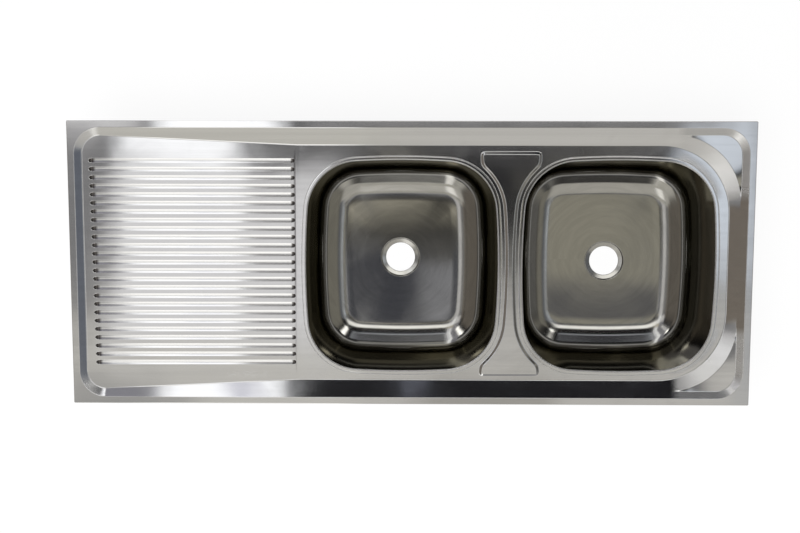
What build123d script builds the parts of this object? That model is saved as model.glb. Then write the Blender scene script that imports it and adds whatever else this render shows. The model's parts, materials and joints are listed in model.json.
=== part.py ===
from build123d import *
from math import atan2, cos, degrees, radians, tan
import os

# A pressed steel inset sink with a drainer on the left and two bowls, held in its worktop by screw clips.
# Millimetres. X runs along the sink, Y from front to back, Z up. The pieces are drawn with the top of the
# rim at height 0 and lifted at the end, so that the sink stands on the pads under its bowls.

# Pressed top
sink_length = 1200.0
sink_width = 500.0
rim_corner = 2.0
sheet = 1.0
lip_depth = 4.0
flange_width = 12.0
flange_corner = 46.0
band_slope = 22.0
shelf_drop = 5.0
shelf_ledge = 0.5
shelf_corner = 115.0
deck_drop = 12.0
deck_corner = 120.0
deck_margin = 19.9

# Bowls
bowl_length = 341.2
bowl_gap = 41.8
bowl_side_radius = 1350.0
bowl_corner = 92.0
bowl_front_shift = 4.3
bowl_depth = 148.0
bowl_draft = 6.4
bowl_bottom_radius = 45.0

# Waste holes
waste_hole_diameter = 55.0
waste_recess_diameter = 72.0
waste_recess_depth = 3.0
left_waste_shift_x = -3.5
left_waste_shift_y = 3.4
right_waste_shift_x = 1.7
right_waste_shift_y = -2.7

# Drainer
drainer_gap = 8.0
drainer_start_drop = 4.9
groove_pitch = 14.9
groove_width = 7.8
groove_bottom_width = 3.0
groove_depth = 1.8
groove_left_gap = 12.5
groove_right_gap = 9.5
groove_side_gap = 28.0
groove_back_shift = 2.0

# Raised divider between the bowls
divider_rise = 2.0
divider_offset = 14.8
divider_width = 104.5
divider_overhang = 9.4
divider_corner = 9.0
divider_side_slope = 62.0
divider_front_shift = 2.0

# Sound pads under the bowls
pad_length = 190.0
pad_width = 222.0
pad_corner = 40.0
pad_thickness = 4.0
pad_hole_diameter = 100.0

# Stiffening channels under the drainer
channel_count = 2
channel_width = 62.0
channel_foot = 14.0
channel_depth = 14.0
channel_sheet = 1.2
channel_length = 340.0
bond_gap = 0.05

# Foam seal under the rim
seal_edge_gap = 0.6
seal_width = 8.5
seal_thickness = 3.2

# Fixing clips
clip_end_gap = 170.0
clips_per_long_side = 3
bracket_sheet = 1.5
bracket_width = 18.0
foot_inset = 14.0
leg_inset = 25.0
ear_inset = 11.5
ear_drop = 25.0
ear_collar_diameter = 10.0
ear_collar_height = 3.0
leg_drop = 56.0
window_width = 9.0
window_height = 11.0
screw_inset = 17.0
screw_diameter = 6.0
screw_clearance = 0.05
screw_tip_drop = 24.0
screw_head_width = 9.0
screw_head_height = 4.5
screw_slot_width = 1.4
screw_slot_depth = 1.5
ring_groove_diameter = 4.8
ring_thickness = 0.8
ring_diameter = 10.0
ring_mouth = 4.0
slip_gap = 0.1
claw_inset = 1.8
claw_width = 14.0
claw_tip_width = 10.0
claw_thickness = 3.0
claw_tooth_height = 4.0
claw_tooth_length = 2.6
claw_guide_gap = 0.3
claw_hole_clearance = 0.2
worktop_max = 42.0

# Earth tag and its bolt
tag_width = 14.0
tag_foot = 16.0
tag_leg = 24.0
tag_sheet = 1.5
tag_corner_gap = 22.0
tag_hole_height = 9.0
earth_bolt_diameter = 5.0
earth_bolt_length = 14.0
earth_head_width = 8.0
earth_head_height = 3.5
earth_nut_height = 4.0
earth_washer_diameter = 10.0
earth_washer_thickness = 1.0

# Length by which a cutter or a filler passes the face that it works on
overrun = 1.0


# Places that follow from the sizes

def band_run(drop):
    """Level distance in which the sloping band falls by a given drop."""
    return drop / tan(radians(band_slope))


shelf_inset = flange_width + band_run(shelf_drop)
deck_inset = flange_width + shelf_ledge + band_run(deck_drop)
bowl_width = sink_width - 2 * (deck_inset + deck_margin)
right_bowl_x = sink_length / 2 - deck_inset - deck_margin - bowl_length / 2
left_bowl_x = right_bowl_x - bowl_length - bowl_gap
bowl_y = -bowl_front_shift
divider_x = (left_bowl_x + right_bowl_x) / 2
floor_drop = deck_drop + bowl_depth
rim_top = floor_drop + sheet + pad_thickness
slab_depth = 2 * (deck_drop + groove_depth)

drainer_left = -sink_length / 2 + shelf_inset
drainer_right = left_bowl_x - bowl_length / 2 - drainer_gap
drainer_angle = degrees(atan2(deck_drop - drainer_start_drop, drainer_right - drainer_left))
groove_left = drainer_left + groove_left_gap
groove_right = drainer_right - groove_right_gap
groove_length = groove_right - groove_left
groove_count = int((sink_width - 2 * deck_inset - 2 * groove_side_gap) / groove_pitch) + 1
groove_span = (groove_count - 1) * groove_pitch


def drainer_height(x):
    """Height of the sloping drainer at a place along the sink."""
    return -drainer_start_drop - (x - drainer_left) * tan(radians(drainer_angle))


def on_drainer(x):
    """Frame that lies on the drainer at a place along the sink, its X axis down the fall."""
    return Location((x, 0, drainer_height(x)), (0, drainer_angle, 0))


def place(shape):
    """Lift a piece from the rim's frame to where the finished sink stands."""
    return Pos(0, 0, rim_top) * shape


# Pressed top

def sunken_outline(inset, left_radius, right_radius):
    """Outline of the sunken middle, set in from the rim, with a corner radius of its own at each end."""
    outline = Rectangle(sink_length - 2 * inset, sink_width - 2 * inset)
    outline = fillet(outline.vertices().group_by(Axis.X)[0], left_radius)
    return fillet(outline.vertices().group_by(Axis.X)[-1], right_radius)


def upper_band_outline(drop):
    run = band_run(drop)
    return sunken_outline(flange_width + run, flange_corner - run, flange_corner - run)


def lower_band_outline(drop):
    """The lower band keeps the slope along the sides and swings wide round the bowl at the right."""
    run = band_run(drop) + shelf_ledge
    share = (drop - shelf_drop) / (deck_drop - shelf_drop)
    right_radius = shelf_corner + (deck_corner - shelf_corner) * share
    return sunken_outline(flange_width + run, flange_corner - run, right_radius)


def band_pocket(outline, first_drop, last_drop):
    first = Pos(0, 0, -first_drop) * outline(first_drop)
    last = Pos(0, 0, -last_drop) * outline(last_drop)
    return loft([first, last], ruled=True)


def drainer_fill():
    """Solid under the sloping drainer, between the left end and the bowls."""
    left = -sink_length / 2 + flange_width + overrun
    right = left_bowl_x - bowl_length / 2
    bottom = -slab_depth + overrun
    side = Polygon(
        (left, drainer_height(left)),
        (right, drainer_height(right)),
        (right, bottom),
        (left, bottom),
        align=None,
    )
    half_width = sink_width / 2 - flange_width - 2 * overrun
    return extrude(Plane.XZ * side, amount=half_width, both=True)


def groove_cutter():
    """One groove: a long slot whose sides and round ends slope in to a narrow flat bottom."""
    side_run = (groove_width - groove_bottom_width) / 2
    side_angle = degrees(atan2(side_run, groove_depth))
    widen = 2 * overrun * side_run / groove_depth
    mouth = SlotOverall(groove_length + widen, groove_width + widen)
    cutter = extrude(mouth, amount=groove_depth + overrun, dir=(0, 0, -1), taper=side_angle)
    return Pos(0, 0, overrun) * cutter


def grooves():
    middle = (groove_left + groove_right) / 2
    cutter = groove_cutter()
    first = groove_back_shift - groove_span / 2
    rows = [first + groove_pitch * row for row in range(groove_count)]
    return [on_drainer(middle) * Pos(0, y, 0) * cutter for y in rows]


def bowl_outline(grow):
    """Bowl outline, grown outwards by a given amount: four bowed sides with rounded corners between them."""
    disc = Circle(bowl_side_radius + grow)
    reach_x = bowl_side_radius - bowl_length / 2
    reach_y = bowl_side_radius - bowl_width / 2
    sides = Pos(reach_x, 0) * disc & Pos(-reach_x, 0) * disc
    sides = sides & Pos(0, reach_y) * disc & Pos(0, -reach_y) * disc
    return fillet(sides.vertices(), bowl_corner + grow)


def divider():
    """Waisted raised island that follows both bowls, with sloping sides."""
    side_run = (divider_rise + overrun) * tan(radians(divider_side_slope))
    foot_offset = divider_offset - side_run / 2
    length = bowl_width + 2 * divider_overhang
    island = Pos(divider_x, -divider_front_shift) * Rectangle(divider_width + side_run, length + side_run)
    for bowl_x in (left_bowl_x, right_bowl_x):
        island -= Pos(bowl_x, bowl_y) * bowl_outline(foot_offset)
    by_depth = island.vertices().group_by(Axis.Y)
    island = fillet(by_depth[0] + by_depth[-1], divider_corner)
    solid = extrude(island, amount=divider_rise + overrun, taper=divider_side_slope)
    return Pos(0, 0, -deck_drop - overrun) * solid


def top_form():
    """Everything below the upper skin of the pressed top, as one solid block."""
    rim = RectangleRounded(sink_length, sink_width, rim_corner)
    form = extrude(rim, amount=slab_depth, dir=(0, 0, -1))
    form -= band_pocket(upper_band_outline, -overrun, shelf_drop)
    form -= band_pocket(lower_band_outline, shelf_drop - overrun, deck_drop)
    form += drainer_fill()
    form -= grooves()
    form += divider()
    return form


def sink_top():
    """The block less a copy of itself one sheet lower, with its edge turned down and two bowl openings."""
    form = top_form()
    inner_rim = RectangleRounded(sink_length - 2 * sheet, sink_width - 2 * sheet, rim_corner - sheet / 2)
    core = extrude(inner_rim, amount=2 * slab_depth, both=True)
    skin = form - Pos(0, 0, -sheet) * (form & core)
    lip_inner = Rectangle(sink_length - flange_width, sink_width - flange_width)
    lip_outer = Rectangle(sink_length + flange_width, sink_width + flange_width)
    below_lip = extrude(lip_outer - lip_inner, amount=slab_depth, dir=(0, 0, -1))
    skin -= Pos(0, 0, -lip_depth) * below_lip
    for bowl_x in (left_bowl_x, right_bowl_x):
        skin -= Pos(bowl_x, bowl_y) * extrude(bowl_outline(0), amount=2 * slab_depth, both=True)
    return skin


# Bowls

def bowl_form(inset, depth, bottom_radius):
    """Filled bowl: a short upright collar, drafted walls and a rounded bottom edge."""
    outline = bowl_outline(-inset)
    collar = extrude(outline, amount=sheet, dir=(0, 0, -1))
    walls = extrude(outline, amount=depth - sheet, dir=(0, 0, -1), taper=bowl_draft)
    walls = fillet(walls.faces().sort_by(Axis.Z)[0].edges(), bottom_radius)
    return collar + Pos(0, 0, -sheet) * walls


def bowl(bowl_x, shift_x, shift_y):
    """Drawn bowl with a stepped waste hole, which lies a little off the bowl's centre."""
    waste = Pos(shift_x, bowl_y + shift_y)
    body = Pos(0, bowl_y) * bowl_form(0, bowl_depth + sheet, bowl_bottom_radius + sheet)
    recess_outer = waste_recess_diameter / 2 + sheet
    recess_bottom = bowl_depth + waste_recess_depth
    seat = extrude(Circle(recess_outer), waste_recess_depth + sheet, dir=(0, 0, -1))
    body += waste * Pos(0, 0, -bowl_depth) * seat
    body -= Pos(0, bowl_y) * bowl_form(sheet, bowl_depth, bowl_bottom_radius)
    recess = extrude(Circle(waste_recess_diameter / 2), waste_recess_depth)
    hole = extrude(Circle(waste_hole_diameter / 2), 2 * sheet, both=True)
    body -= waste * Pos(0, 0, -recess_bottom) * recess
    body -= waste * Pos(0, 0, -recess_bottom) * hole
    return Pos(bowl_x, 0, -deck_drop) * body


def bowl_pad(bowl_x):
    face = RectangleRounded(pad_length, pad_width, pad_corner) - Circle(pad_hole_diameter / 2)
    return Pos(bowl_x, 0, -floor_drop - sheet) * extrude(face, amount=pad_thickness, dir=(0, 0, -1))


# Stiffening channels and seal

def drainer_channel(x):
    """Hat section across the drainer, its feet against the undersides of the grooves."""
    half = channel_width / 2
    knee = half - channel_foot
    inner = knee - channel_sheet
    section = Polygon(
        (-half, 0),
        (-inner, 0),
        (-inner, -channel_depth + channel_sheet),
        (inner, -channel_depth + channel_sheet),
        (inner, 0),
        (half, 0),
        (half, -channel_sheet),
        (knee, -channel_sheet),
        (knee, -channel_depth),
        (-knee, -channel_depth),
        (-knee, -channel_sheet),
        (-half, -channel_sheet),
        align=None,
    )
    channel = extrude(Plane.XZ * section, amount=channel_length / 2, both=True)
    seat = -groove_depth - sheet - bond_gap
    return on_drainer(x) * Pos(0, 0, seat) * channel


def rim_seal():
    outer_inset = sheet + seal_edge_gap
    inner_inset = outer_inset + seal_width
    outer = Rectangle(sink_length - 2 * outer_inset, sink_width - 2 * outer_inset)
    inner = Rectangle(sink_length - 2 * inner_inset, sink_width - 2 * inner_inset)
    return Pos(0, 0, -sheet) * extrude(outer - inner, amount=seal_thickness, dir=(0, 0, -1))


# Fixing clips, drawn at a rim edge that faces +Y, with the edge itself at Y = 0

seal_bottom = -sheet - seal_thickness
tooth_top = seal_bottom - worktop_max
claw_top = tooth_top - claw_tooth_height
claw_bottom = claw_top - claw_thickness
screw_head_top = claw_bottom - slip_gap
ring_bottom = claw_top + slip_gap


def band_underside(inset):
    """Height of the sloping band's underside at a distance in from the rim's edge."""
    return -(inset - flange_width) * tan(radians(band_slope)) - sheet - bond_gap


def strip(points, width):
    """A bent strip: its edge outline in Y and Z, given a width along X."""
    return extrude(Plane.YZ * Polygon(*points, align=None), amount=width / 2, both=True)


def at_screw(shape, height):
    return Pos(0, -screw_inset, height) * shape


def clip_bracket():
    """Foot welded under the band, a leg that guides the claw, and a lanced ear with a threaded collar."""
    foot_drop = bracket_sheet / cos(radians(band_slope))
    leg_outer = leg_inset - bracket_sheet
    bracket = strip(
        (
            (-foot_inset, band_underside(foot_inset)),
            (-leg_inset, band_underside(leg_inset)),
            (-leg_inset, -leg_drop),
            (-leg_outer, -leg_drop),
            (-leg_outer, -ear_drop - bracket_sheet),
            (-ear_inset, -ear_drop - bracket_sheet),
            (-ear_inset, -ear_drop),
            (-leg_outer, -ear_drop),
            (-leg_outer, band_underside(leg_outer) - foot_drop),
            (-foot_inset, band_underside(foot_inset) - foot_drop),
        ),
        bracket_width,
    )
    ear_bottom = -ear_drop - bracket_sheet
    collar_bottom = ear_bottom - ear_collar_height
    collar = extrude(Circle(ear_collar_diameter / 2), ear_collar_height, dir=(0, 0, -1))
    bracket += at_screw(collar, ear_bottom)
    hole = extrude(Circle(screw_diameter / 2 + screw_clearance), -ear_drop - collar_bottom + 2 * overrun)
    bracket -= at_screw(hole, collar_bottom - overrun)
    hanging = (Align.CENTER, Align.CENTER, Align.MAX)
    window = Box(window_width, 2 * bracket_sheet, window_height, align=hanging)
    bracket -= Pos(0, -leg_inset + bracket_sheet / 2, ear_bottom) * window
    return bracket


def clip_claw():
    """Plate that rides up the bracket's leg, with a tapered finger and a tooth that bites the worktop."""
    guide_edge = leg_inset - bracket_sheet - claw_guide_gap
    claw = strip(
        (
            (-claw_inset, tooth_top),
            (-claw_inset, claw_bottom + claw_thickness / 2),
            (-claw_inset - claw_thickness / 2, claw_bottom),
            (-guide_edge, claw_bottom),
            (-guide_edge, claw_top),
            (-claw_inset - 2 * claw_tooth_length, claw_top),
            (-claw_inset - claw_tooth_length, tooth_top),
        ),
        claw_width,
    )
    trim = (claw_width - claw_tip_width) / 2
    taper_start = -screw_inset + screw_diameter
    for side in (-1, 1):
        corner = Polygon(
            (side * claw_width / 2, taper_start),
            (side * (claw_width / 2 - trim), -claw_inset),
            (side * (claw_width / 2 - trim), claw_width),
            (side * claw_width, claw_width),
            (side * claw_width, taper_start),
            align=None,
        )
        reach = 2 * (claw_tooth_height + claw_thickness)
        claw -= Pos(0, 0, claw_bottom) * extrude(corner, reach, both=True)
    hole = extrude(Circle(screw_diameter / 2 + claw_hole_clearance), claw_thickness, both=True)
    return claw - at_screw(hole, claw_top)


def clip_screw():
    """Hexagon headed screw with a driver slot and a groove for its retaining ring."""
    shank_length = -screw_tip_drop - screw_head_top
    screw = extrude(Circle(screw_diameter / 2), shank_length)
    screw = chamfer(screw.edges().sort_by(Axis.Z)[-1], screw_diameter / 8)
    hexagon = RegularPolygon(screw_head_width / 2, 6, major_radius=False)
    head = extrude(hexagon, screw_head_height, dir=(0, 0, -1))
    slot = Box(2 * screw_head_width, screw_slot_width, 2 * screw_slot_depth)
    screw += head - Pos(0, 0, -screw_head_height) * slot
    groove_height = ring_thickness + 2 * slip_gap
    groove = extrude(Circle(screw_diameter) - Circle(ring_groove_diameter / 2), groove_height)
    screw -= Pos(0, 0, ring_bottom - slip_gap - screw_head_top) * groove
    return at_screw(screw, screw_head_top)


def clip_ring():
    """Open spring ring that keeps the claw against the screw's head."""
    ring = Circle(ring_diameter / 2) - Circle(ring_groove_diameter / 2 + screw_clearance)
    ring -= Pos(0, ring_diameter / 2) * Rectangle(ring_mouth, ring_diameter)
    return at_screw(extrude(ring, ring_thickness), ring_bottom)


def clip_stations():
    """Where each clip stands: its name, and the frame at the rim's edge with +Y pointing out."""
    stations = {}
    first = -sink_length / 2 + clip_end_gap
    pitch = (sink_length - 2 * clip_end_gap) / (clips_per_long_side - 1)
    for number in range(clips_per_long_side):
        x = first + pitch * number
        stations[f"back_{number + 1}"] = Location((x, sink_width / 2, 0), (0, 0, 0))
        stations[f"front_{number + 1}"] = Location((x, -sink_width / 2, 0), (0, 0, 180))
    stations["left"] = Location((-sink_length / 2, 0, 0), (0, 0, 90))
    stations["right"] = Location((sink_length / 2, 0, 0), (0, 0, -90))
    return stations


# Earth tag, outside the front left corner of the left bowl

tag_shift = (bowl_corner + tag_corner_gap) * cos(radians(45))
tag_x = left_bowl_x - bowl_length / 2 + bowl_corner - tag_shift
tag_y = bowl_y - bowl_width / 2 + bowl_corner - tag_shift
tag_top = -deck_drop - sheet - bond_gap
tag_hole_z = tag_top - tag_leg + tag_hole_height


def earth_tag():
    """Welded angle with a hole in its hanging leg."""
    to_top = (Align.MIN, Align.CENTER, Align.MAX)
    tag = Box(tag_foot, tag_width, tag_sheet, align=to_top) + Box(tag_sheet, tag_width, tag_leg, align=to_top)
    hole = Plane.YZ * Circle(earth_bolt_diameter / 2 + 2 * slip_gap)
    tag -= Pos(0, 0, tag_hole_z - tag_top) * extrude(hole, 2 * tag_sheet, both=True)
    return Pos(tag_x, tag_y, tag_top) * tag


def along_bolt(shape, x):
    return Pos(tag_x + x, tag_y, tag_hole_z) * shape


def earth_bolt():
    head = extrude(Plane.YZ * RegularPolygon(earth_head_width / 2, 6, major_radius=False), -earth_head_height)
    shank = extrude(Plane.YZ * Circle(earth_bolt_diameter / 2), earth_bolt_length)
    return along_bolt(head + shank, -slip_gap)


def earth_washer():
    face = Circle(earth_washer_diameter / 2) - Circle(earth_bolt_diameter / 2 + slip_gap)
    return along_bolt(extrude(Plane.YZ * face, earth_washer_thickness), tag_sheet + slip_gap)


def earth_nut():
    face = RegularPolygon(earth_head_width / 2, 6, major_radius=False)
    face -= Circle(earth_bolt_diameter / 2 + screw_clearance)
    seat = tag_sheet + earth_washer_thickness + 2 * slip_gap
    return along_bolt(extrude(Plane.YZ * face, earth_nut_height), seat)


# The whole sink

def pieces():
    named = {
        "sink_top": sink_top(),
        "left_bowl": bowl(left_bowl_x, left_waste_shift_x, left_waste_shift_y),
        "right_bowl": bowl(right_bowl_x, right_waste_shift_x, right_waste_shift_y),
        "left_bowl_pad": bowl_pad(left_bowl_x),
        "right_bowl_pad": bowl_pad(right_bowl_x),
        "rim_seal": rim_seal(),
        "earth_tag": earth_tag(),
        "earth_bolt": earth_bolt(),
        "earth_washer": earth_washer(),
        "earth_nut": earth_nut(),
    }
    for number in range(channel_count):
        x = groove_left + groove_length * (number + 1) / (channel_count + 1)
        named[f"drainer_channel_{number + 1}"] = drainer_channel(x)
    clip_makers = {
        "clip_bracket": clip_bracket,
        "clip_claw": clip_claw,
        "clip_screw": clip_screw,
        "clip_ring": clip_ring,
    }
    for kind, make in clip_makers.items():
        clip_piece = make()
        for station, frame in clip_stations().items():
            named[f"{kind}_{station}"] = frame * clip_piece
    return named


os.makedirs("parts", exist_ok=True)
for name, piece in pieces().items():
    export_step(place(piece), f"parts/{name}.step")
print(f"rim top {rim_top:.3f}, seal underside {rim_top + seal_bottom:.3f}")
print(f"claw tooth top {rim_top + tooth_top:.3f}")
print(f"bowls at x {left_bowl_x:.3f} and {right_bowl_x:.3f}, bowl {bowl_length:.1f} by {bowl_width:.3f}")
print(f"drainer falls {drainer_angle:.3f} degrees, {groove_count} grooves, deck inset {deck_inset:.3f}")
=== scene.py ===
# %% [markdown]
# # A pressed steel sink with a drainer and two bowls
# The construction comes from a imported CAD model, which is loaded first and never moved. This lesson dresses
# it: the sheet gets its rolled edges and rounded feet, the soft pieces get their real form, and every surface
# gets a finish made of shader nodes. All sizes are metres, in the frame of the CAD model.

# %% Load the fixed frame
import json

import bpy
import numpy as np
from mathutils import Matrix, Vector
from mathutils.geometry import delaunay_2d_cdt


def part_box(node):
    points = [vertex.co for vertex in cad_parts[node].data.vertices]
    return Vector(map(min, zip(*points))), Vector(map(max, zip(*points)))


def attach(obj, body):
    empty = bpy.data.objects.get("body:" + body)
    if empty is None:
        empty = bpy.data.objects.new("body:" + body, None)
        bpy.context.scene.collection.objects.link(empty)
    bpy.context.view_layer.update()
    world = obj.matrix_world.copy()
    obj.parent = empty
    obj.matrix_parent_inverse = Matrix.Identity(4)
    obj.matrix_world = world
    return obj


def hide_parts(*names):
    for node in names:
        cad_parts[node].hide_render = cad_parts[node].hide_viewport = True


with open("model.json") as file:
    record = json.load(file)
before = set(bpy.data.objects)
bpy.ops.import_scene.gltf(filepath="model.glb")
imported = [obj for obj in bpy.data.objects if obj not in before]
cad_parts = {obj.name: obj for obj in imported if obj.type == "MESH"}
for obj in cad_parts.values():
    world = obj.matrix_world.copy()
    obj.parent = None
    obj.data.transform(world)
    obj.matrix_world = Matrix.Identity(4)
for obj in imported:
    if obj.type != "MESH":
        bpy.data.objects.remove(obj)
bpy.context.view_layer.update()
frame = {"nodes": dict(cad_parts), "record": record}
nodes = frame["nodes"]
scene = bpy.context.scene
MM = 0.001

# %% [markdown]
# ## Sizes
# The outer sizes are read from the frame, so the dressed sheet lands on the solid one. The pressing's own
# sizes, such as the slope of the band round the rim, are the few values that the frame doesn't state.

# %% Sizes of the pressing
_, top_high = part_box("sink_top")
bowl_boxes = {side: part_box(f"{side}_bowl") for side in ("left", "right")}
bowl_low, bowl_high = bowl_boxes["left"]
half_length, half_width, rim_top = top_high
sheet = 1.0 * MM
rim_corner = 2.0 * MM
lip_depth = 4.0 * MM
flange_width = 12.0 * MM
flange_corner = 46.0 * MM
band_fall = np.tan(np.radians(22.0))
deck_height = bowl_high.z
deck_drop = rim_top - deck_height
shelf_outer_drop = 0.40 * deck_drop
shelf_inner_drop = 0.435 * deck_drop
shelf_corner = 115.0 * MM
deck_corner = 120.0 * MM

bowl_half_length = (bowl_high.x - bowl_low.x) / 2
bowl_half_width = (bowl_high.y - bowl_low.y) / 2
bowl_x = {side: (box[0].x + box[1].x) / 2 for side, box in bowl_boxes.items()}
bowl_y = (bowl_low.y + bowl_high.y) / 2
bowl_side_radius = 1350.0 * MM
bowl_corner = 92.0 * MM
bowl_depth = 148.0 * MM
bowl_draft = np.tan(np.radians(6.4))
bowl_collar = 7.0 * MM

drainer_gap = 12.0 * MM
drainer_start_drop = 4.9 * MM
drainer_edge_drop = 5.0 * MM
drainer_left = -half_length + flange_width + drainer_edge_drop / band_fall
drainer_right = bowl_x["left"] - bowl_half_length - drainer_gap
drainer_fall = (deck_drop - drainer_start_drop) / (drainer_right - drainer_left)
print(f"deck {deck_height:.4f}, bowls at {bowl_x['left']:.4f} and {bowl_x['right']:.4f}")

# %% [markdown]
# ## Rays and rounded profiles
# Each pressed feature is a profile carried round an outline. An outline is held as rays: an origin and an
# outward direction for each step round it, so that "grow by 3 mm" only means going 3 mm further along every
# ray, and outlines of one family never tangle. A profile is a bent line whose corners are rounded by arcs.

# %% Rays round an outline
def joined_rays(parts):
    """One ring of rays from several runs of them, without a ray that equals the one before it."""
    rays = np.vstack([np.hstack(part) for part in parts])
    rays = rays[np.abs(rays - np.roll(rays, 1, axis=0)).max(axis=1) > 1e-9]
    return rays[:, :2], rays[:, 2:]


def fan(origin, angles):
    """Rays from one point: direction = (cos a, sin a) for each angle a."""
    directions = np.stack([np.cos(angles), np.sin(angles)], axis=1)
    return np.tile(origin, (len(angles), 1)), directions


def side_rays(start, end, direction, steps):
    """Parallel rays whose origins divide the line from start to end, without its ends. steps is the number of
    equal parts, or the shares of the line themselves."""
    share = np.linspace(0, 1, steps + 1)[1:-1] if np.isscalar(steps) else np.array(steps)
    origins = np.array(start) * (1 - share[:, None]) + np.array(end) * share[:, None]
    return origins, np.tile(direction, (len(origins), 1))


def rounded_rays(half_x, half_y, radius, corner_steps, x_steps, y_steps):
    """Rays of a rounded rectangle: quarter fans at the four corner centres and parallel rays between them.
    The outline itself is origin + radius * direction."""
    centre = np.array([half_x - radius, half_y - radius])
    quarter = np.linspace(0, np.pi / 2, corner_steps + 1)
    turns = (1, -1), (1, 1), (-1, 1), (-1, -1)
    outwards = (1.0, 0.0), (0.0, 1.0), (-1.0, 0.0), (0.0, -1.0)
    parts = []
    for k, steps in enumerate((y_steps, x_steps, y_steps, x_steps)):
        start, end = centre * turns[k], centre * turns[(k + 1) % 4]
        parts += [side_rays(start, end, outwards[k], steps), fan(end, quarter + k * np.pi / 2)]
    return joined_rays(parts)


print("rays of a stadium:", len(rounded_rays(3.0, 1.0, 1.0, 6, 4, 2)[0]))

# %% Rounded profiles
def rounded_profile(corners, radii, steps=6, guard=0.6 * MM, guard_share=0.02, leg_share=0.95):
    """Rows of a bent line with rounded corners. corners is (k, n, 2): k corners for each of n rays. An inner
    corner becomes an exact arc, the rational quadratic curve whose middle weight is cos(half the turn). Arcs
    that share a leg share it by their radii. A guard row on each side keeps the flats flat when shaded."""
    s = np.linspace(0, 1, steps + 1)[:, None, None]
    rows = [corners[:1]]
    for k in range(1, len(corners) - 1):
        legs = corners[k] - corners[k - 1], corners[k + 1] - corners[k]
        lengths = [np.linalg.norm(leg, axis=-1, keepdims=True) for leg in legs]
        before, after = legs[0] / lengths[0], legs[1] / lengths[1]
        turn = np.arccos(np.clip((before * after).sum(axis=-1, keepdims=True), -1, 1))
        shares = [leg_share * radii[k] / (radii[k] + radii[k + step]) for step in (-1, 1)]
        room = np.minimum(shares[0] * lengths[0], shares[1] * lengths[1])
        cut = np.minimum(radii[k] * np.tan(turn / 2), room)
        start, end = corners[k] - cut * before, corners[k] + cut * after
        weights = (1 - s) ** 2, 2 * s * (1 - s) * np.cos(turn / 2), s ** 2
        arc = (weights[0] * start + weights[1] * corners[k] + weights[2] * end) / sum(weights)
        rows.append((start - np.minimum(guard, guard_share * lengths[0]) * before)[None])
        rows.append(arc)
        rows.append((end + np.minimum(guard, guard_share * lengths[1]) * after)[None])
    rows.append(corners[-1:])
    return np.concatenate(rows)


def carried(origins, directions, rows):
    """A profile carried along rays: rows (k, n, 2) of distance and height give points (k, n, 3)."""
    flat = origins[None] + rows[..., :1] * directions[None]
    return np.concatenate([flat, np.broadcast_to(rows[..., 1:], flat.shape[:2] + (1,))], axis=2)


def ring_profile(offsets, heights, radii, base=0.0, steps=6):
    """A profile that is the same on every ray: distance = base + offset, with rounded corners."""
    corners = np.stack([base + np.array(offsets), np.array(heights)], axis=1)[:, None]
    return rounded_profile(corners, radii, steps)


def round_ring(rays, rows):
    """Carry a profile that has one column round all the rays."""
    return carried(*rays, np.broadcast_to(rows, (len(rows), len(rays[0]), 2)))


print("a corner of three points becomes", len(ring_profile((1, 0, 0), (0, 0, 1), (0, 0.2, 0))), "rows")

# %% [markdown]
# ## One sheet from many patches
# A pressed sheet is strips that follow outlines, and flat webs between the strips. The strips are grids. The
# webs are flat, so any triangles that respect their borders do, and a constrained Delaunay fill gives them.
# Patches share the vertices along their borders, so the sheet is one skin, and a Solidify gives it thickness.

# %% Points in a loop, and settled meshes
def inside(points, loop):
    """True for each point inside a closed loop, by counting the edges that a line to the right crosses."""
    a, b = loop[None], np.roll(loop, -1, axis=0)[None]
    p = points[:, None]
    spans = (a[..., 1] > p[..., 1]) != (b[..., 1] > p[..., 1])
    rise = np.where(b[..., 1] == a[..., 1], 1.0, b[..., 1] - a[..., 1])
    cross = a[..., 0] + (p[..., 1] - a[..., 1]) * (b[..., 0] - a[..., 0]) / rise
    return (spans & (p[..., 0] < cross)).sum(axis=1) % 2 == 1


def settle(piece):
    """Put what the modifiers made into the mesh itself, and clear the modifiers."""
    view = bpy.context.evaluated_depsgraph_get()
    view.update()
    made = bpy.data.meshes.new_from_object(piece.evaluated_get(view))
    old = piece.data
    piece.modifiers.clear()
    piece.data = made
    bpy.data.meshes.remove(old)
    made.name = piece.name


square = np.array([(0, 0), (1, 0), (1, 1), (0, 1)])
print("inside a unit square:", inside(np.array([(0.5, 0.5), (1.5, 0.5)]), square))

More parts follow.
